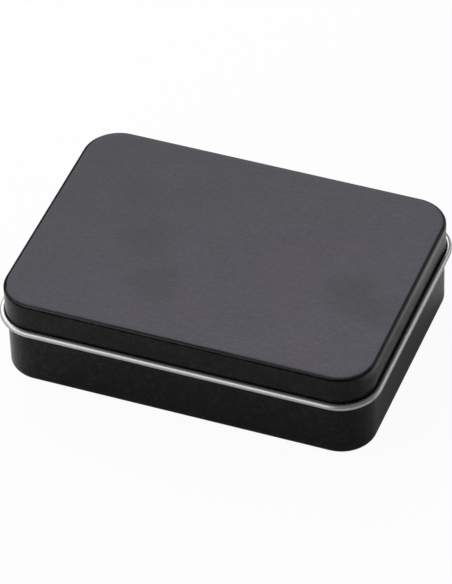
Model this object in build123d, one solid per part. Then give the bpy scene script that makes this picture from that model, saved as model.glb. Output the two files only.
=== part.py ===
from build123d import *
import os
from math import acos, degrees, sqrt

# A pressed tin for one deck of cards: a drawn base, a drawn lid with a rolled
# edge, and the steel wire that hinges them. Millimetres, +Z up. The origin is
# the middle of the underside, X runs along the hinge and +Y is the hinge side.

# Sheet and overall size
sheet = 0.25             # thickness of the tinplate
skirt_length = 98.0      # over the lid's skirt along X, without its rolled edge
skirt_width = 70.5       # over the lid's skirt along Y
tin_height = 25.9        # underside to the top of the closed lid
corner_radius = 9.5      # of the skirt's outer face, seen from above

# Lid
skirt_depth = 8.8        # top of the lid down to the middle of its rolled edge
lid_edge_radius = 1.0    # outer radius between panel and skirt
roll_wrap = 300          # degrees that a rolled edge turns through

# Base
foot_radius = 1.4        # outer radius between floor and wall
rim_radius = 0.8         # outer radius of the base's inward rolled rim
side_clearance = 0.12    # wall to skirt at the sides and the rear
panel_clearance = 0.10   # rim to the underside of the lid's panel
swing_clearance = 0.05   # rim to the front skirt where they pass closest

# Hinge
wire_radius = 0.55
wire_clearance = 0.05    # wire to the inside of every roll
wire_end_inset = 1.5     # wire end to the start of the rear corner's bend
knuckle_width = 12.0
knuckle_spacing = 48.0   # between the middles of the two knuckles
knuckle_end_gap = 0.2    # knuckle to the cut ends of the lid's roll
knuckle_top_gap = 0.15   # knuckle to the skirt's edge above it
tongue_rise = 3.3        # root of a knuckle's tongue up to the wire's axis
joggle_radius = 1.0      # of the two bends that step a tongue out to the wire

# Worked out from the sizes above
roll_radius = wire_radius + wire_clearance + sheet
roll_middle_radius = roll_radius - sheet / 2
axis_z = tin_height - skirt_depth
axis_y = skirt_width / 2 - sheet + roll_radius
rim_top = tin_height - sheet - panel_clearance
wall_x = skirt_length / 2 - sheet - side_clearance
wall_rear_y = skirt_width / 2 - sheet - side_clearance

# The lid's front edge swings inwards as it rises from the wire's level to the
# rim's, so the front wall stands further in than the others.
front_skirt_reach = axis_y + skirt_width / 2 - sheet
rim_reach = front_skirt_reach - rim_radius - swing_clearance
rim_rise = rim_top - rim_radius - axis_z
wall_front_y = axis_y - rim_radius - sqrt(rim_reach**2 - rim_rise**2)
wall_corner_radius = corner_radius - sheet - side_clearance

knuckle_places = (-knuckle_spacing / 2, knuckle_spacing / 2)


def sheet_section(middle_line):
    """The cut edge of a pressed sheet, from the line through its middle."""
    return trace(middle_line, sheet).face()


def drawn_shell(length, width, radius, section, panel_lap, panel_z):
    """Carry a wall's section round a rounded rectangle and close it with a flat panel.

    The section's x is measured outwards from the rectangle and its y upwards.
    """
    outline = RectangleRounded(length, width, radius).face().outer_wire()
    along = outline % 0
    outwards = along.cross(Vector(0, 0, 1))
    start = Plane(origin=outline @ 0, x_dir=outwards, z_dir=-along)
    wall = sweep(start * section, path=outline)
    panel = extrude(
        RectangleRounded(length - 2 * panel_lap, width - 2 * panel_lap, radius - panel_lap),
        sheet,
    )
    return wall + Pos(0, 0, panel_z) * panel


def lid_section():
    """From the panel over the top edge, down the skirt and out into the rolled edge."""
    panel_middle = tin_height - sheet / 2
    lap = Line((-lid_edge_radius - sheet, panel_middle), (-lid_edge_radius, panel_middle))
    edge = JernArc(lap @ 1, lap % 1, lid_edge_radius - sheet / 2, -90)
    skirt = Line(edge @ 1, (-sheet / 2, axis_z))
    roll = JernArc(skirt @ 1, skirt % 1, roll_middle_radius, roll_wrap)
    return sheet_section(lap + edge + skirt + roll)


def base_section():
    """From the floor round the foot, up the wall and in over the rolled rim."""
    lap = Line((-foot_radius - sheet, sheet / 2), (-foot_radius, sheet / 2))
    foot = JernArc(lap @ 1, lap % 1, foot_radius - sheet / 2, 90)
    wall = Line(foot @ 1, (-sheet / 2, rim_top - rim_radius))
    rim = JernArc(wall @ 1, wall % 1, rim_radius - sheet / 2, roll_wrap)
    return sheet_section(lap + foot + wall + rim)


def tongue_line():
    """Middle of a hinge tongue: up the wall, stepped out, up and over the wire."""
    root = (wall_rear_y - sheet / 2, axis_z - tongue_rise)
    step = axis_y - roll_radius - (wall_rear_y - sheet)
    turn = degrees(acos(1 - step / (2 * joggle_radius)))
    step_out = JernArc(root, (0, 1), joggle_radius, -turn)
    step_back = JernArc(step_out @ 1, step_out % 1, joggle_radius, turn)
    riser = Line(step_back @ 1, (axis_y - roll_middle_radius, axis_z))
    knuckle = JernArc(riser @ 1, (0, 1), roll_middle_radius, -roll_wrap)
    return step_out + step_back + riser + knuckle


def make_base():
    width = wall_rear_y - wall_front_y
    middle_y = (wall_rear_y + wall_front_y) / 2
    shell = drawn_shell(
        2 * wall_x, width, wall_corner_radius, base_section(), foot_radius + sheet, 0
    )
    base = Pos(0, middle_y, 0) * shell
    # Each tongue leaves a window in the rear wall as high as the tongue is long.
    line = tongue_line()
    blank_length = sum(edge.length for edge in line.edges())
    window = Box(
        knuckle_width, 2 * sheet, blank_length, align=(Align.CENTER, Align.CENTER, Align.MIN)
    )
    tongue = extrude(Plane.YZ * sheet_section(line), knuckle_width / 2, both=True)
    for x in knuckle_places:
        base -= Pos(x, wall_rear_y - sheet / 2, axis_z - tongue_rise) * window
        base += Pos(x, 0, 0) * tongue
    return base


def make_lid():
    lid = drawn_shell(
        skirt_length, skirt_width, corner_radius, lid_section(),
        lid_edge_radius + sheet, tin_height - sheet,
    )
    # The rolled edge is cut away at the knuckles, and the skirt above them too.
    notch_rise = roll_radius + knuckle_top_gap
    notch = Box(knuckle_width + 2 * knuckle_end_gap, 2 * notch_rise, 2 * notch_rise)
    for x in knuckle_places:
        lid -= Pos(x, axis_y, axis_z) * notch
    return lid


def make_wire():
    length = skirt_length - 2 * corner_radius - 2 * wire_end_inset
    return Pos(0, axis_y, axis_z) * Rot(0, 90, 0) * Cylinder(wire_radius, length)


if __name__ == "__main__":
    os.makedirs("parts", exist_ok=True)
    export_step(make_base(), "parts/base_tray.step")
    export_step(make_lid(), "parts/lid.step")
    export_step(make_wire(), "parts/hinge_wire.step")
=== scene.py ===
import bpy
import numpy as np
from mathutils import Matrix, Vector


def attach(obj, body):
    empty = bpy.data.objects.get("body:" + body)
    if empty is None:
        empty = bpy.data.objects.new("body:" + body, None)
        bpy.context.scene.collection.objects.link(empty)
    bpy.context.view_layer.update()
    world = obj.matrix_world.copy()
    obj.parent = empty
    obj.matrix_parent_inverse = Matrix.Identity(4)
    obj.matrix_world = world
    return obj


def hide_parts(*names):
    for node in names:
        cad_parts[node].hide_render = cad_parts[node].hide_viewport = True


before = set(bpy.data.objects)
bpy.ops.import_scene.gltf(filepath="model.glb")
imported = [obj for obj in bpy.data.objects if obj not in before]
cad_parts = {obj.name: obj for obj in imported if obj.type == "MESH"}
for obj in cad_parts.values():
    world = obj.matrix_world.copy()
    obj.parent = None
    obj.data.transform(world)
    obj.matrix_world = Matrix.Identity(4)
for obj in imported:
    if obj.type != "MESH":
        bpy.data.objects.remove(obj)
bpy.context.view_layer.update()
mm = 0.001                             # sizes in the dictionaries are millimetres
slack = 1e-4                           # two places closer than this, in mm, are the same

# A pressed tin for one deck of cards. The sizes that its lid, base and hinge wire share:
tin = {
    "sheet": 0.25, "skirtLength": 98.0, "skirtWidth": 70.5, "height": 25.9,
    "skirtDepth": 8.8, "cornerRadius": 9.5, "rollWrap": 300,
    "wireRadius": 0.55, "wireClearance": 0.05,
    "knuckleSpacing": 48.0, "knuckleWidth": 12.0,
    "cornerPoints": 30, "rollPoints": 40, "step": 1.3, "sharpDegrees": 50,
}
rollRadius = tin["wireRadius"] + tin["wireClearance"] + tin["sheet"]
rollMiddle = rollRadius - tin["sheet"] / 2
knucklePlaces = np.array([-0.5, 0.5]) * tin["knuckleSpacing"]

# The hinge's axis is also the middle of the roll along the rear.
axisY = tin["skirtWidth"] / 2 - tin["sheet"] + rollRadius
axisZ = tin["height"] - tin["skirtDepth"]


# Points along start + t (end - start), for t from 0 to 1.
def straight(start, end, count):
    t = np.linspace(0, 1, count + 1)[:, None]
    return np.asarray(start) + t * (np.asarray(end) - np.asarray(start))


# Points middle + radius (cos a, sin a), for the angle a from one value to another.
def arc(middle, radius, fromDegrees, toDegrees, count):
    a = np.radians(np.linspace(fromDegrees, toDegrees, count + 1))
    return np.asarray(middle) + radius * np.column_stack([np.cos(a), np.sin(a)])


# Polyline pieces end to end, each shared point kept once.
def joined(*pieces):
    return np.vstack([pieces[0]] + [piece[1:] for piece in pieces[1:]])


# Coordinates from low to high in even steps, with a point on every stop between them.
def spaced(low, high, stops):
    marks = np.unique(np.round(np.concatenate([[low, high], stops]), 6))
    counts = np.ceil(np.diff(marks) / tin["step"]).astype(int)
    runs = [np.linspace(a, b, n + 1)[:-1] for a, b, n in zip(marks[:-1], marks[1:], counts)]
    return np.concatenate(runs)


# Closed line round a rounded rectangle, anticlockwise from above, with its outward normals.
# The sides are straight; in a corner the normal turns evenly and the point is at
# the corner's middle + radius * normal.
def roundedOutline(halfX, frontY, rearY, radius, stops):
    alongX = spaced(radius - halfX, halfX - radius, stops)
    alongY = spaced(frontY + radius, rearY - radius, [])
    turn = np.radians(90 * np.arange(tin["cornerPoints"]) / tin["cornerPoints"])
    points, normals = [], []
    sides = [(alongX, frontY, (0, -1)), (halfX, alongY, (1, 0)),
             (-alongX, rearY, (0, 1)), (-halfX, frontY + rearY - alongY, (-1, 0))]
    middles = [(halfX - radius, frontY + radius), (halfX - radius, rearY - radius),
               (radius - halfX, rearY - radius), (radius - halfX, frontY + radius)]
    for number, ((x, y, normal), middle) in enumerate(zip(sides, middles)):
        side = np.column_stack([x + 0 * y, y + 0 * x])
        angle = turn + np.radians(90 * number - 90)
        bend = np.column_stack([np.cos(angle), np.sin(angle)])
        points += [side, np.asarray(middle) + radius * bend]
        normals += [np.tile(normal, (len(side), 1)), bend]
    return np.vstack(points), np.vstack(normals)


# Grid of a section carried along an outline: outline + out * normal, at the section's height.
def carried(section, outline, normals):
    plan = outline[None] + section[:, 0][:, None, None] * normals[None]
    height = np.broadcast_to(section[:, 1][:, None, None], plan.shape[:2] + (1,))
    return np.concatenate([plan, height], axis=2)


# Rings that shrink a closed line evenly on to its middle, smallest ring first.
def shrunkRings(ring, count):
    middle = (ring.min(axis=0) + ring.max(axis=0)) / 2
    share = np.linspace(0, 1, count + 1)[1:, None, None]
    rings = middle + share * (ring[None] - middle)
    return middle, rings[:-1]


# Numbers for the points of a grid, row after row.
def numbered(grid, first=0):
    return first + np.arange(grid.shape[0] * grid.shape[1]).reshape(grid.shape[:2])


# Four-cornered faces between the rows of an array of point numbers.
def gridFaces(numbers, closed):
    after = np.roll(numbers, -1, axis=1)
    quads = np.stack([numbers[:-1], after[:-1], after[1:], numbers[1:]], axis=-1)
    return quads if closed else quads[:, :-1]


# Three-cornered faces from a closed row of point numbers to the point in its middle.
def fanFaces(row, middle):
    return np.stack([np.full_like(row, middle), np.roll(row, -1), row], axis=-1)


# Whether each face of a grid is at the rear and within a reach of a knuckle along X.
def nearKnuckles(grid, reach):
    centre = (grid[:-1] + np.roll(grid, -1, axis=1)[1:]) / 2
    near = np.abs(centre[..., 0, None] - knucklePlaces) < reach
    return near.any(axis=-1) & (centre[..., 1] > 0)


# Sum of sine waves in random level directions, each about as long as the given length.
def gentleWaves(points, length, count, seed):
    draw = np.random.default_rng(seed)
    heading = draw.uniform(0, 2 * np.pi, count)
    waveLength = length * draw.uniform(0.6, 1.7, count)
    offset = draw.uniform(0, 2 * np.pi, count)
    along = points[..., :2] @ np.stack([np.cos(heading), np.sin(heading)])
    return np.sin(2 * np.pi * along / waveLength + offset).sum(axis=-1) / np.sqrt(count)


# Cubic 3 t^2 - 2 t^3 from 0 to 1, flat at both ends.
def smoothStep(value):
    t = np.clip(value, 0, 1)
    return t * t * (3 - 2 * t)


# How far a thin pressed sheet lies out of true on rings round its middle: none at its edge,
# then the stated depth times an even share plus gentle waves.
def waviness(rings, shape):
    share = np.linspace(0, 1, len(rings) + 2)[1:-1]
    depth = shape["waveDepth"] * smoothStep((1 - share) / shape["edgeShare"])[:, None]
    even = shape["evenShare"]
    return depth * (even + (1 - even) * gentleWaves(rings, **shape["waves"]))


# A mesh object at the origin, from points in millimetres and lists of corner numbers.
def meshPiece(name, points, faces, materials):
    mesh = bpy.data.meshes.new(name)
    mesh.from_pydata((points * mm).tolist(), [], [list(face) for face in faces])
    mesh.validate()
    piece = bpy.data.objects.new(name, mesh)
    bpy.context.scene.collection.objects.link(piece)
    for material in materials:
        mesh.materials.append(material)
    mesh.polygons.foreach_set("use_smooth", np.ones(len(mesh.polygons), bool))
    return piece


# The slots of a sheet piece: outside, inside and cut edge of its flat parts, then of its
# rolled parts.
def sheetSlots(outside):
    return [outside, flatTin, brightEdge, outside, rolledTin, brightEdge]


# Gives a surface its sheet thickness: lacquer outside, bare metal inside, bright cut edges.
def thicken(piece, rolledFaces):
    firstRolledSlot = 3
    slots = np.where(rolledFaces, firstRolledSlot, 0).astype(np.int32)
    piece.data.polygons.foreach_set("material_index", slots)
    wall = piece.modifiers.new("sheet", "SOLIDIFY")
    wall.thickness = tin["sheet"] * mm
    wall.offset = 0
    wall.use_even_offset = True
    wall.material_offset = 1           # inside
    wall.material_offset_rim = 2       # cut edge
    ready = piece.evaluated_get(bpy.context.evaluated_depsgraph_get())
    solid = bpy.data.meshes.new_from_object(ready)
    piece.modifiers.clear()
    solid.name = piece.name
    piece.data = solid
    solid.set_sharp_from_angle(angle=np.radians(tin["sharpDegrees"]))
    return piece


# One value inside a material. Arithmetic on it adds Math nodes, and node() adds any other.
class Signal:
    def __init__(self, tree, socket=None):
        self.tree = tree
        self.socket = socket

    def node(self, kind, settings, inputs, output=0):
        made = self.tree.nodes.new(kind)
        for name, value in settings.items():
            setattr(made, name, value)
        for name, value in inputs.items():
            if isinstance(value, Signal):
                self.tree.links.new(value.socket, made.inputs[name])
            else:
                made.inputs[name].default_value = value
        return Signal(self.tree, made.outputs[output])

    def maths(self, operation, first, second):
        return self.node("ShaderNodeMath", {"operation": operation}, {0: first, 1: second})

    def __add__(self, other):
        return self.maths("ADD", self, other)

    def __sub__(self, other):
        return self.maths("SUBTRACT", self, other)

    def __rsub__(self, other):
        return self.maths("SUBTRACT", other, self)

    def __mul__(self, other):
        return self.maths("MULTIPLY", self, other)

    __radd__ = __add__
    __rmul__ = __mul__

    def larger(self, other):
        return self.maths("MAXIMUM", self, other)

    # Smooth step of this value between two limits.
    def between(self, low, high):
        return self.node("ShaderNodeMapRange", {"interpolation_type": "SMOOTHSTEP"},
                         {"Value": self, "From Min": low, "From Max": high})

    def feed(self, socket):
        self.tree.links.new(self.socket, socket)


# A new material with one Principled shader; returns it, a start for nodes and the shader.
def newFinish(name, roughness, specular=0.5, metallic=1.0):
    material = bpy.data.materials.new(name)
    material.use_nodes = True
    tree = material.node_tree
    shader = tree.nodes["Principled BSDF"]
    shader.inputs["Roughness"].default_value = roughness
    shader.inputs["Specular IOR Level"].default_value = specular
    shader.inputs["Metallic"].default_value = metallic
    return material, Signal(tree), shader


def placeOf(start):
    return start.node("ShaderNodeTexCoord", {}, {}, "Object")


def axisOf(start, axis):
    return start.node("ShaderNodeSeparateXYZ", {}, {"Vector": placeOf(start)}, axis)


# Noise about zero in object coordinates, each axis scaled by features per metre.
def grain(start, perMetre, detail=2.0):
    scaled = start.node("ShaderNodeMapping", {"vector_type": "POINT"},
                        {"Vector": placeOf(start), "Scale": perMetre})
    noise = start.node("ShaderNodeTexNoise", {"noise_dimensions": "3D"},
                       {"Vector": scaled, "Scale": 1.0, "Detail": detail})
    return noise - 0.5


# 1 where a coordinate is above a pair of places in mm, fading between them.
def past(start, axis, places):
    return axisOf(start, axis).between(places[0] * mm, places[1] * mm)


# Two colours mixed: the first at a share of 0, the second at 1.
def blendColours(start, share, first, second):
    mixed = start.node("ShaderNodeMix", {"data_type": "RGBA"}, {0: share}, 2)
    for number, colour in ((6, first), (7, second)):
        socket = mixed.socket.node.inputs[number]
        if isinstance(colour, Signal):
            colour.feed(socket)
        else:
            socket.default_value = (*colour, 1)
    return mixed


# A colour times a varying strength.
def tinted(start, colour, strength):
    return start.node("ShaderNodeVectorMath", {"operation": "SCALE"},
                      {0: colour, "Scale": strength})


# Relief from a varying height, as deep as the distance in mm.
def addBump(start, shader, height, distance):
    start.node("ShaderNodeBump", {}, {"Strength": 1.0, "Distance": distance * mm,
                                      "Height": height}).feed(shader.inputs["Normal"])


# Grains are features per metre along X, Y and Z; shares are parts of the colour or coat.
lacquerLook = {
    "sideColour": (0.0028, 0.0028, 0.0030), "roughness": 0.20, "specular": 0.15,
    "speckle": (1200, 1200, 1200), "speckleShare": 2.0,
    "mottle": (260, 260, 260), "mottleShare": 1.6,
    "coat": 0.02, "coatSpeckle": 0.65, "coatMottle": 0.18, "bump": 0.02,
    "clouds": (62, 80, 80), "dullClouds": 0.10, "dullSpeckle": 0.05,
}

panelLook = {
    "colour": (0.0535, 0.0505, 0.0667),
    "streaks": (650, 2600, 2600), "longStreaks": (150, 2200, 2200), "longShare": 0.35,
    "streakShare": 1.05, "speckleShare": 0.6, "cloudShare": 0.26,
    # The painted sheen: how fast the panel's colour lightens per metre along X and along Y.
    "paintedSheenPerMetre": (3.8, -4.2), "dullClouds": 0.06, "dullStreaks": 0.05,
}

# The bend of the lid's edge, in heights and places in mm. A pair is where something fades in;
# four heights are where a band fades in and where it fades out.
bendLook = {
    "line": (25.02, 25.10, 25.33, 25.41), "lineFront": (-33.0, -30.0), "lineEnd": (43.0, 47.0),
    "lineWidens": (8.0, 30.0), "lineRise": 0.17,
    "panel": (25.80, 25.865),
    # The pale keys place a painted highlight on the bend along the front.
    "paintedHighlightColour": (0.056, 0.054, 0.054), "pale": (25.40, 25.52), "paleShare": 0.20,
    "paleLeft": (-35.0, -5.0), "leftShare": 0.40,
    "paleRight": (10.0, 32.0), "paleHigh": (25.66, 25.76), "rightShare": 0.60,
    "frontStart": (-44.0, -39.0), "frontDepth": (-30.0, -27.0), "frontEnd": (46.5, 48.5),
    "rubbed": (22.40, 25.10, 25.33, 25.48), "rubbedSide": (46.5, 48.5), "rubbedCoat": 0.60,
    "dullSide": (-47.4, -46.4), "dullHigh": (25.890, 25.8992), "dullLow": (24.6, 25.0),
    "dullRoughness": 0.42,
}

# Faint worn patches on the panel: middle, reach and share of the colour at the middle.
wornLook = {
    "violetColour": (0.0576, 0.0497, 0.0685),
    "violet": [((16.0, 1.0), 14.0, 1.0), ((20.0, -13.0), 11.0, 1.0), ((31.0, -26.0), 12.0, 1.0),
               ((-1.0, -22.0), 10.0, 1.0), ((29.0, 12.0), 9.0, 0.9), ((-12.0, -30.0), 7.0, 0.8)],
    "oliveColour": (0.0375, 0.0357, 0.0418),
    "olive": [((-21.0, -2.0), 11.0, 0.65), ((-12.5, -16.0), 10.0, 0.75),
              ((35.0, -4.5), 10.0, 1.0), ((43.0, -9.0), 9.0, 0.75),
              ((-29.0, 12.0), 10.0, 0.25), ((-12.0, 17.0), 8.0, 0.25)],
    "ragged": (180, 260, 260), "raggedBy": 9.0, "solidShare": 0.15,
}


# A soft round patch on the panel: its share in the middle, 0 past its reach, ragged by noise.
def wornPatch(start, middle, reach, share):
    look = wornLook
    centre = (middle[0] * mm, middle[1] * mm, tin["height"] * mm)
    away = start.node("ShaderNodeVectorMath", {"operation": "DISTANCE"},
                      {0: placeOf(start), 1: centre}, "Value")
    ragged = away + look["raggedBy"] * mm * grain(start, look["ragged"], detail=3.0)
    return share * (1 - ragged.between(look["solidShare"] * reach * mm, reach * mm))


# A thin dark line along the front, low on the bend of the lid's edge: 1 in the line.
# As a black metal it mirrors almost nothing.
def bendLine(start):
    look = bendLook
    onFront = (1 - past(start, "Y", look["lineFront"])) * (1 - past(start, "X", look["lineEnd"]))
    bottom, low, high, top = look["line"]
    rise = look["lineRise"] * mm * past(start, "X", look["lineWidens"])
    over = (axisOf(start, "Z") - rise).between(high * mm, top * mm)
    return past(start, "Z", (bottom, low)) * (1 - over) * onFront


# How far a painted highlight lightens the bend along the front: more to the left, and high up to
# the right.
def paintedBendHighlight(start):
    look = bendLook
    left = look["paleShare"] + look["leftShare"] * (1 - past(start, "X", look["paleLeft"]))
    right = look["rightShare"] * past(start, "X", look["paleRight"])
    share = left * past(start, "Z", look["pale"]) + right * past(start, "Z", look["paleHigh"])
    alongFront = past(start, "X", look["frontStart"]) * (
        1 - past(start, "Y", look["frontDepth"])) * (1 - past(start, "X", look["frontEnd"]))
    return share * alongFront


# The low bend along the right side, rubbed glossier by handling.
def rubbedBend(start):
    look = bendLook
    bottom, low, high, top = look["rubbed"]
    band = past(start, "Z", (bottom, low)) * (1 - past(start, "Z", (high, top)))
    return look["rubbedCoat"] * band * past(start, "X", look["rubbedSide"])


# The bend along the left side, worn dull: 1 on the bend, 0 on the panel and below the bend.
def dullBend(start):
    look = bendLook
    alongLeft = 1 - past(start, "X", look["dullSide"])
    return alongLeft * past(start, "Z", look["dullLow"]) * (1 - past(start, "Z", look["dullHigh"]))


# The panel's brushed finish: streaks, speckle and clouds multiply its colour, and so does a
# painted sheen, a slight rise from side to side that lightens it toward the right front; worn
# patches tint it.
def panelFinish(start, streaks, speckle, clouds):
    look = panelLook
    brushed = 1 + look["streakShare"] * streaks + look["speckleShare"] * speckle
    clouded = 1 + look["cloudShare"] * clouds
    # Painted sheen: the colour grows lighter toward the right front, as if the panel caught more
    # light there.
    paintedSheen = 1
    for perMetre, axis in zip(look["paintedSheenPerMetre"], "XY"):
        paintedSheen = paintedSheen + perMetre * axisOf(start, axis)
    tone = look["colour"]
    for tint in ("violet", "olive"):
        for patch in wornLook[tint]:
            tone = blendColours(start, wornPatch(start, *patch), tone, wornLook[tint + "Colour"])
    return tinted(start, tone, brushed * clouded * paintedSheen)


# Satin black lacquer on sheet metal: a fine speckle and a broader mottle multiply its colour
# and vary its thin clear coat. On the lid it turns into the panel's paler finish.
def lacquer(name, hasPanel):
    look = lacquerLook
    material, start, shader = newFinish(name, look["roughness"], look["specular"], metallic=0.0)
    shader.inputs["Coat Roughness"].default_value = look["roughness"]
    clouds = grain(start, look["clouds"], detail=3.0)
    speckle = grain(start, look["speckle"])
    mottle = grain(start, look["mottle"])
    colour = tinted(start, look["sideColour"],
                    1 + look["speckleShare"] * speckle + look["mottleShare"] * mottle)
    coat = look["coat"] + look["coatSpeckle"] * speckle + look["coatMottle"] * mottle
    if hasPanel:
        streaks = (1 - panelLook["longShare"]) * grain(start, panelLook["streaks"])
        streaks = streaks + panelLook["longShare"] * grain(start, panelLook["longStreaks"])
        dull = dullBend(start)
        panel = past(start, "Z", bendLook["panel"]) * (1 - dull)
        # The bend along the front takes a painted highlight in a pale neutral colour.
        colour = blendColours(start, paintedBendHighlight(start), colour, bendLook["paintedHighlightColour"])
        colour = blendColours(start, panel, colour, panelFinish(start, streaks, speckle, clouds))
        coat = coat * (1 - panel) * (1 - dull) + rubbedBend(start)
        roughness = (look["roughness"] + panelLook["dullClouds"] * clouds
                     + panelLook["dullStreaks"] * streaks * panel
                     + bendLook["dullRoughness"] * dull)
        bendLine(start).larger(dull).feed(shader.inputs["Metallic"])
    else:
        roughness = (look["roughness"] + look["dullClouds"] * clouds
                     + look["dullSpeckle"] * speckle)
    colour.feed(shader.inputs["Base Color"])
    coat.feed(shader.inputs["Coat Weight"])
    roughness.feed(shader.inputs["Roughness"])
    addBump(start, shader, speckle, look["bump"])
    return material


# The sheet's bare side: satin inside the tin, and drawn smoother where it is rolled.
tinplateLook = {
    "marks": (60, 1500, 1500), "markShare": 0.18, "dullMarks": 0.10,
    "blotches": (70, 70, 70), "blotchShare": 0.10, "dullBlotches": 0.12,
    "speckLimits": (0.08, 0.22), "dullSpecks": 0.6, "bump": 0.002,
}
# Painted shade: the inside tinplate is a darker copy of the rolls' tinplate, which dims the rear
# lamp's bright reflection in it.
flatTinLook = {
    "colour": (0.44, 0.44, 0.435), "metallic": 0.90, "roughness": 0.33,
    "specks": (1800, 1800, 1800), "speckDepth": 0.25,
}
rolledTinLook = {
    "colour": (0.50, 0.50, 0.495), "metallic": 0.83, "roughness": 0.29,
    "specks": (2600, 2600, 2600), "speckDepth": 0.15,
}


# Bare tinplate: a cool grey metal with faint rolling marks along X, soft blotches and small
# dull specks.
def tinplate(name, look):
    shared = tinplateLook
    material, start, shader = newFinish(name, look["roughness"], metallic=look["metallic"])
    marks = grain(start, shared["marks"], detail=3.0)
    blotches = grain(start, shared["blotches"])
    specks = look["speckDepth"] * grain(start, look["specks"]).between(*shared["speckLimits"])
    strength = 1 + shared["markShare"] * marks + shared["blotchShare"] * blotches
    tinted(start, look["colour"], strength * (1 - specks)).feed(shader.inputs["Base Color"])
    roughness = (look["roughness"] + shared["dullBlotches"] * blotches
                 + shared["dullMarks"] * marks + shared["dullSpecks"] * specks)
    roughness.feed(shader.inputs["Roughness"])
    addBump(start, shader, marks, shared["bump"])
    return material


# Sheared edges have short burr marks through the sheet, and drawn wire very fine lines
# along its length.
edgeLook = {
    "colour": (0.46, 0.46, 0.455), "roughness": 0.38,
    "marks": (1400, 1400, 300), "markShare": 0.5, "dullMarks": 0.2, "bump": 0.004,
}
wireLook = {
    "colour": (0.5, 0.5, 0.5), "roughness": 0.26,
    "marks": (120, 7000, 7000), "markShare": 0.4, "dullMarks": 0.16, "bump": 0.002,
}


# Bright metal whose marks multiply its colour and dull it.
def brightMetal(name, look):
    material, start, shader = newFinish(name, look["roughness"])
    marks = grain(start, look["marks"])
    tinted(start, look["colour"], 1 + look["markShare"] * marks).feed(
        shader.inputs["Base Color"])
    (look["roughness"] + look["dullMarks"] * marks).feed(shader.inputs["Roughness"])
    addBump(start, shader, marks, look["bump"])
    return material


flatTin = tinplate("flatTinplate", flatTinLook)
rolledTin = tinplate("rolledTinplate", rolledTinLook)
brightEdge = brightMetal("shearedEdge", edgeLook)
lidLacquer = lacquer("lidLacquer", hasPanel=True)
baseLacquer = lacquer("baseLacquer", hasPanel=False)
wireSteel = brightMetal("wireSteel", wireLook)
print("finishes made")

lidShape = {
    "edgeRadius": 1.0, "endGap": 0.2, "topGap": 0.15,
    "bendPoints": 10, "skirtPoints": 7, "notchPoints": 2,
    "panelRings": 26, "waveDepth": 0.035, "edgeShare": 0.35, "evenShare": 0.5,
    "waves": {"length": 34.0, "count": 6, "seed": 11},
    "rollDepth": 0.01, "rollWaves": {"length": 9.0, "count": 7, "seed": 4},
}


# The lid's sheet, from the panel over the edge, down the skirt and round the rolled edge.
def makeLid():
    shape, half = lidShape, tin["sheet"] / 2
    top, edge = tin["height"], shape["edgeRadius"]
    notchTop = axisZ + rollRadius + shape["topGap"]
    edgeBend = arc((-edge, top - edge), edge - half, 90, 0, shape["bendPoints"])
    skirt = joined(edgeBend,
                   straight((-half, top - edge), (-half, notchTop), shape["skirtPoints"]))
    notchRow = len(skirt) - 1
    roll = arc((rollMiddle - half, axisZ), rollMiddle, 180, 180 + tin["rollWrap"],
               tin["rollPoints"])
    section = joined(skirt, straight((-half, notchTop), (-half, axisZ), shape["notchPoints"]),
                     roll)

    notchHalf = tin["knuckleWidth"] / 2 + shape["endGap"]
    stops = np.add.outer(knucklePlaces, (-notchHalf, notchHalf)).ravel()
    outline, normals = roundedOutline(tin["skirtLength"] / 2, -tin["skirtWidth"] / 2,
                                      tin["skirtWidth"] / 2, tin["cornerRadius"], stops)
    wall = carried(section, outline, normals)

    # A hand-worn roll is not quite even: its outer reach varies a little along the edge.
    reach = np.clip(section[:, 0] / (2 * rollMiddle), 0, 1)[:, None]
    uneven = shape["rollDepth"] * gentleWaves(wall, **shape["rollWaves"]) * reach
    wall[..., :2] -= np.abs(uneven)[..., None] * normals[None]

    middle, rings = shrunkRings(wall[0], shape["panelRings"])
    rings[..., 2] -= waviness(rings, shape)
    middle[2] = rings[0, :, 2].mean()
    grid = np.concatenate([rings, wall])
    points = np.vstack([grid.reshape(-1, 3), middle])

    numbers = numbered(grid)
    quads = gridFaces(numbers, closed=True)[..., ::-1]
    fan = fanFaces(numbers[0], numbers.size)[..., ::-1]
    rows = np.arange(len(quads))[:, None]
    notched = nearKnuckles(grid, notchHalf) & (rows >= len(rings) + notchRow)
    faces = quads[~notched].tolist() + fan.tolist()
    rolled = np.broadcast_to(rows >= len(grid) - len(roll), notched.shape)
    rolledFaces = np.concatenate([rolled[~notched], np.zeros(len(fan), bool)])
    return thicken(meshPiece("lidShell", points, faces, sheetSlots(lidLacquer)), rolledFaces)


lidShell = makeLid()
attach(lidShell, "lid")
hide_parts("lid")
print("lid made:", len(lidShell.data.polygons), "faces")

baseShape = {
    "sideClearance": 0.12, "panelClearance": 0.10, "swingClearance": 0.05,
    "footRadius": 1.4, "rimRadius": 0.8, "tongueRise": 3.3, "joggleRadius": 1.0, "slit": 0.12,
    "footPoints": 12, "wallPoints": 9, "windowPoints": 5, "topPoints": 3, "rimPoints": 32,
    "jogglePoints": 6, "riserPoints": 4,
    "floorRings": 22, "waveDepth": 0.04, "edgeShare": 0.3, "evenShare": 0.6,
    "waves": {"length": 40.0, "count": 5, "seed": 21},
}

# The wall stands inside the lid's skirt by the sheet and a clearance.
wallInset = tin["sheet"] + baseShape["sideClearance"]
wallRearY = tin["skirtWidth"] / 2 - wallInset
rimTop = tin["height"] - tin["sheet"] - baseShape["panelClearance"]


# Where the front wall stands: the skirt's front edge swings in a circle round the hinge's
# axis, and the rim's roll stays one clearance inside that circle.
def frontWallY():
    rim = baseShape["rimRadius"]
    skirtReach = axisY + tin["skirtWidth"] / 2 - tin["sheet"]
    rimReach = skirtReach - rim - baseShape["swingClearance"]
    rimRise = rimTop - rim - axisZ
    return axisY - rim - np.sqrt(rimReach ** 2 - rimRise ** 2)


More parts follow.
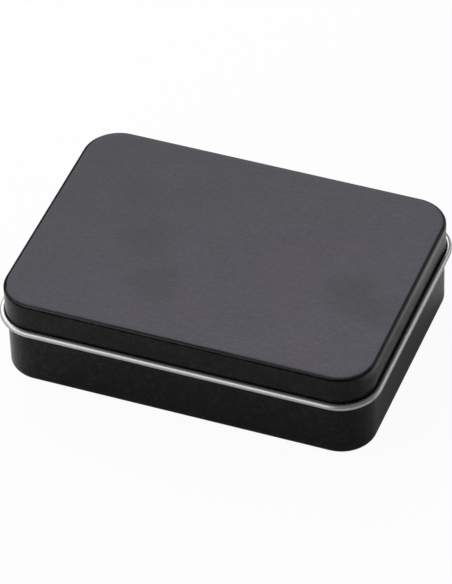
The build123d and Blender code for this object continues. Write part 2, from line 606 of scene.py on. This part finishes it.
# Middle line of a hinge tongue in the YZ plane: up the wall, stepped out by two equal
# arcs, up again and round over the wire.
def tongueLine():
    shape, radius = baseShape, baseShape["joggleRadius"]
    root = np.array([wallRearY - tin["sheet"] / 2, axisZ - shape["tongueRise"]])
    step = axisY - rollMiddle - root[0]
    turn = np.arccos(1 - step / (2 * radius))
    degrees, count = np.degrees(turn), shape["jogglePoints"]
    out = arc(root + (radius, 0), radius, 180, 180 - degrees, count)
    backMiddle = out[-1] + radius * np.array([-np.cos(turn), np.sin(turn)])
    back = arc(backMiddle, radius, -degrees, 0, count)
    riser = straight(back[-1], (axisY - rollMiddle, axisZ), shape["riserPoints"])
    roll = arc((axisY, axisZ), rollMiddle, 180, 180 - tin["rollWrap"], tin["rollPoints"])
    return joined(out, back, riser, roll)


# The base's sheet, from the floor round the foot, up the wall and in over the rim, with a
# window in the rear wall where each tongue was cut free and bent out to the wire.
def makeBase():
    shape, half = baseShape, tin["sheet"] / 2
    foot, rim = shape["footRadius"], shape["rimRadius"]
    line = tongueLine()
    rootZ = line[0, 1]
    windowTop = rootZ + np.linalg.norm(np.diff(line, axis=0), axis=1).sum()
    low = joined(arc((-foot, foot), foot - half, -90, 0, shape["footPoints"]),
                 straight((-half, foot), (-half, rootZ), shape["wallPoints"]))
    rootRow = len(low) - 1
    window = joined(low, straight((-half, rootZ), (-half, windowTop), shape["windowPoints"]))
    topRow = len(window) - 1
    section = joined(
        window, straight((-half, windowTop), (-half, rimTop - rim), shape["topPoints"]),
        arc((-rim, rimTop - rim), rim - half, 0, tin["rollWrap"], shape["rimPoints"]))

    tongueHalf = tin["knuckleWidth"] / 2
    windowHalf = tongueHalf + shape["slit"]
    edges = (-windowHalf, -tongueHalf, tongueHalf, windowHalf)
    stops = np.add.outer(knucklePlaces, edges).ravel()
    outline, normals = roundedOutline(tin["skirtLength"] / 2 - wallInset, frontWallY(),
                                      wallRearY, tin["cornerRadius"] - wallInset, stops)
    wall = carried(section, outline, normals)
    middle, rings = shrunkRings(wall[0], shape["floorRings"])
    rings[..., 2] += waviness(rings, shape)
    middle[2] = rings[0, :, 2].mean()
    grid = np.concatenate([rings, wall])
    points = [grid.reshape(-1, 3), middle[None]]

    numbers = numbered(grid)
    quads = gridFaces(numbers, closed=True)
    rows = np.arange(len(quads))[:, None] - len(rings)
    cut = nearKnuckles(grid, windowHalf) & (rows >= rootRow) & (rows < topRow)
    faces = quads[~cut].tolist() + fanFaces(numbers[0], numbers.size).tolist()

    # Each tongue starts on the wall's own points, so that the sheet carries on unbroken.
    count = numbers.size + 1
    flatCount = len(faces)
    for place in knucklePlaces:
        columns = np.flatnonzero((outline[:, 1] > wallRearY - slack)
                                 & (np.abs(outline[:, 0] - place) < tongueHalf + slack))
        strip = np.empty((len(line) - 1, len(columns), 3))
        strip[..., 0] = outline[columns, 0]
        strip[..., 1:] = line[1:, None]
        rootNumbers = numbers[len(rings) + rootRow, columns]
        tongue = gridFaces(np.vstack([rootNumbers, numbered(strip, count)]), closed=False)
        faces += tongue.reshape(-1, 4).tolist()
        points.append(strip.reshape(-1, 3))
        count += len(points[-1])
    shell = meshPiece("baseShell", np.vstack(points), faces, sheetSlots(baseLacquer))
    return thicken(shell, np.arange(len(faces)) >= flatCount)


baseShell = makeBase()
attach(baseShell, "base")
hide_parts("base_tray")
print("base made:", len(baseShell.data.polygons), "faces")

wireShape = {"endInset": 1.5, "endRound": 0.12, "endPoints": 5, "around": 32, "steps": 60}


# The hinge wire: a radius that is full along the length and drops in a quarter circle at
# each cropped end, turned round the hinge's axis.
def makeWire():
    shape, radius, end = wireShape, tin["wireRadius"], wireShape["endRound"]
    half = tin["skirtLength"] / 2 - tin["cornerRadius"] - shape["endInset"]
    near = arc((end - half, radius - end), end, 180, 90, shape["endPoints"])
    far = near[::-1] * (-1, 1)
    profile = joined(near, straight(near[-1], far[0], shape["steps"]), far)
    angle = 2 * np.pi * np.arange(shape["around"]) / shape["around"]
    grid = np.empty((len(profile), shape["around"], 3))
    grid[..., 0] = profile[:, 0, None]
    grid[..., 1] = axisY + profile[:, 1, None] * np.cos(angle)
    grid[..., 2] = axisZ + profile[:, 1, None] * np.sin(angle)
    numbers = numbered(grid)
    faces = gridFaces(numbers, closed=True)[..., ::-1].reshape(-1, 4).tolist()
    faces += [numbers[0].tolist(), numbers[-1, ::-1].tolist()]
    wire = meshPiece("hingePin", grid.reshape(-1, 3), faces, [wireSteel])
    wire.data.set_sharp_from_angle(angle=np.radians(tin["sharpDegrees"]))
    return wire


hingePin = makeWire()
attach(hingePin, "lid")
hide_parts("hinge_wire")
print("hinge wire made")

studio = {
    "floorSize": 0.6, "floorDrop": 0.02, "floorGrey": 0.95, "worldGrey": 0.17,
    "whiteToCamera": 0.95, "whiteToGloss": 0.04, "lampDistance": 0.9,
}

# Where each lamp stands, as a direction from the tin, its face in metres and its brightness.
softboxes = {
    "frontSoftbox": {"toward": (-0.50, -0.68, 0.46), "size": (1.10, 0.78), "brightness": 1.5},
    "rearSoftbox": {"toward": (-0.55, 0.60, 0.66), "size": (0.90, 0.70), "brightness": 2.6},
    "leftSoftbox": {"toward": (-0.86, -0.10, 0.50), "size": (0.60, 0.60), "brightness": 1.3},
    "rightSoftbox": {"toward": (0.66, 0.66, 0.33), "size": (0.80, 0.40), "brightness": 1.1},
}


# How much of its plain white a backdrop shows to the ray that meets it: nearly all to the
# camera, a little to glossy and transmission rays and none to diffuse ones, so that the
# white doesn't light the tin.
def shownWhite(start):
    camera, glossy, transmission = [
        start.node("ShaderNodeLightPath", {}, {}, kind)
        for kind in ("Is Camera Ray", "Is Glossy Ray", "Is Transmission Ray")]
    return camera * studio["whiteToCamera"] + (glossy + transmission) * studio["whiteToGloss"]


# A pale floor just under the tin: it keeps the shadow in its diffuse part, and plain white
# is mixed over it.
def makeFloor():
    half, level = studio["floorSize"] / 2, -studio["floorDrop"] * mm
    mesh = bpy.data.meshes.new("floor")
    corners = [(-half, -half, level), (half, -half, level), (half, half, level),
               (-half, half, level)]
    mesh.from_pydata(corners, [], [(0, 1, 2, 3)])
    floor = bpy.data.objects.new("floor", mesh)
    bpy.context.scene.collection.objects.link(floor)
    material = bpy.data.materials.new("paleFloor")
    material.use_nodes = True
    tree = material.node_tree
    tree.nodes.remove(tree.nodes["Principled BSDF"])
    start = Signal(tree)
    grey = (studio["floorGrey"],) * 3 + (1,)
    paper = start.node("ShaderNodeBsdfDiffuse", {}, {"Color": grey})
    white = start.node("ShaderNodeEmission", {}, {"Color": (1, 1, 1, 1), "Strength": 1.0})
    mixed = start.node("ShaderNodeMixShader", {}, {0: shownWhite(start), 1: paper, 2: white})
    mixed.feed(tree.nodes["Material Output"].inputs["Surface"])
    mesh.materials.append(material)


# The room round the floor: a dim even grey, but plain white where the camera sees it.
def makeWorld():
    world = bpy.data.worlds.new("studioWorld")
    bpy.context.scene.world = world
    world.use_nodes = True
    start = Signal(world.node_tree)
    level = studio["worldGrey"] + (1 - studio["worldGrey"]) * shownWhite(start)
    level.feed(world.node_tree.nodes["Background"].inputs["Strength"])
    world.node_tree.nodes["Background"].inputs["Color"].default_value = (1, 1, 1, 1)


# A soft area lamp that faces the tin; its power gives the stated brightness of its face.
def softbox(name, lamp):
    light = bpy.data.lights.new(name, "AREA")
    light.shape = "RECTANGLE"
    light.size, light.size_y = lamp["size"]
    light.energy = lamp["brightness"] * np.pi * light.size * light.size_y
    place = bpy.data.objects.new(name, light)
    bpy.context.scene.collection.objects.link(place)
    toward = Vector(lamp["toward"]).normalized()
    place.location = toward * studio["lampDistance"]
    place.rotation_euler = toward.to_track_quat("Z", "Y").to_euler()


makeFloor()
makeWorld()
for softboxName, softboxLamp in softboxes.items():
    softbox(softboxName, softboxLamp)
print("studio made")

# Degrees round, above and about the line of sight; the distance in mm.
cameraView = {
    "azimuth": 22.141, "elevation": 42.276, "roll": -2.123, "distance": 1096.5,
    "focalPixels": 4341.9, "offsetPixels": (1.49, -2.40), "imageHeight": 584,
    "sensorWidth": 36, "clipStart": 0.05,
}


# A camera on a sphere round the tin's middle, with a long lens and a slight roll.
def makeCamera():
    view = cameraView
    azimuth, elevation, roll = np.radians([view[k] for k in ("azimuth", "elevation", "roll")])
    back = np.array([np.sin(azimuth) * np.cos(elevation), -np.cos(azimuth) * np.cos(elevation),
                     np.sin(elevation)])
    right = np.array([np.cos(azimuth), np.sin(azimuth), 0])
    up = np.cross(back, right)
    rolledRight = right * np.cos(roll) + up * np.sin(roll)
    rolledUp = up * np.cos(roll) - right * np.sin(roll)
    data = bpy.data.cameras.new("camera")
    data.sensor_width = view["sensorWidth"]
    data.lens = view["focalPixels"] * data.sensor_width / view["imageHeight"]
    data.clip_start = view["clipStart"]
    camera = bpy.data.objects.new("camera", data)
    bpy.context.scene.collection.objects.link(camera)
    middle = np.array([0, 0, tin["height"] / 2])
    perPixel = view["distance"] / view["focalPixels"]
    across, down = (offset * perPixel for offset in view["offsetPixels"])
    target = middle - rolledRight * across + rolledUp * down
    position = target + back * view["distance"]
    turn = Matrix(np.column_stack([rolledRight, rolledUp, back]).tolist()).to_4x4()
    camera.matrix_world = Matrix.Translation(Vector(position * mm)) @ turn
    bpy.context.scene.camera = camera


makeCamera()
bpy.context.scene.view_settings.view_transform = "Standard"
print("camera placed")

bpy.context.view_layer.update()
